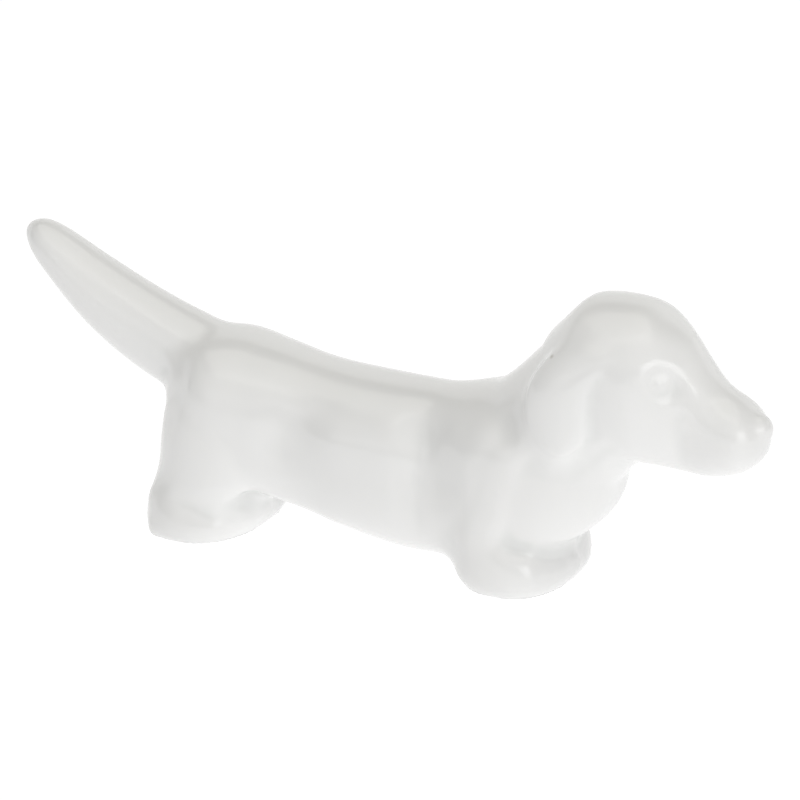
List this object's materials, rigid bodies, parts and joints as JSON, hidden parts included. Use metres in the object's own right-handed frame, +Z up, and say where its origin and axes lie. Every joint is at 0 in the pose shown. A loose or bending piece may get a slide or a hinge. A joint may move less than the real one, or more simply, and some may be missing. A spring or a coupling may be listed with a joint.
{
  "type": "cutlery rest",
  "caption": "Standing long-bodied dog in white glazed porcelain; knives, forks and spoons lie across the hollow of its back, clear of the table.",
  "frame": {"origin": "on the table, under the middle of the outline box", "axes": "+X towards the nose, +Y towards the dog's left flank, +Z up"},
  "size_m": [0.1, 0.022, 0.0367],
  "materials": {
    "porcelain": "clear gloss glaze"
  },
  "bodies": {
    "root": {"trunk": "porcelain", "head": "porcelain", "tail": "porcelain", "left_ear": "porcelain", "right_ear": "porcelain", "left_front_leg": "porcelain", "right_front_leg": "porcelain", "left_hind_leg": "porcelain", "right_hind_leg": "porcelain"}
  },
  "joints": []
}
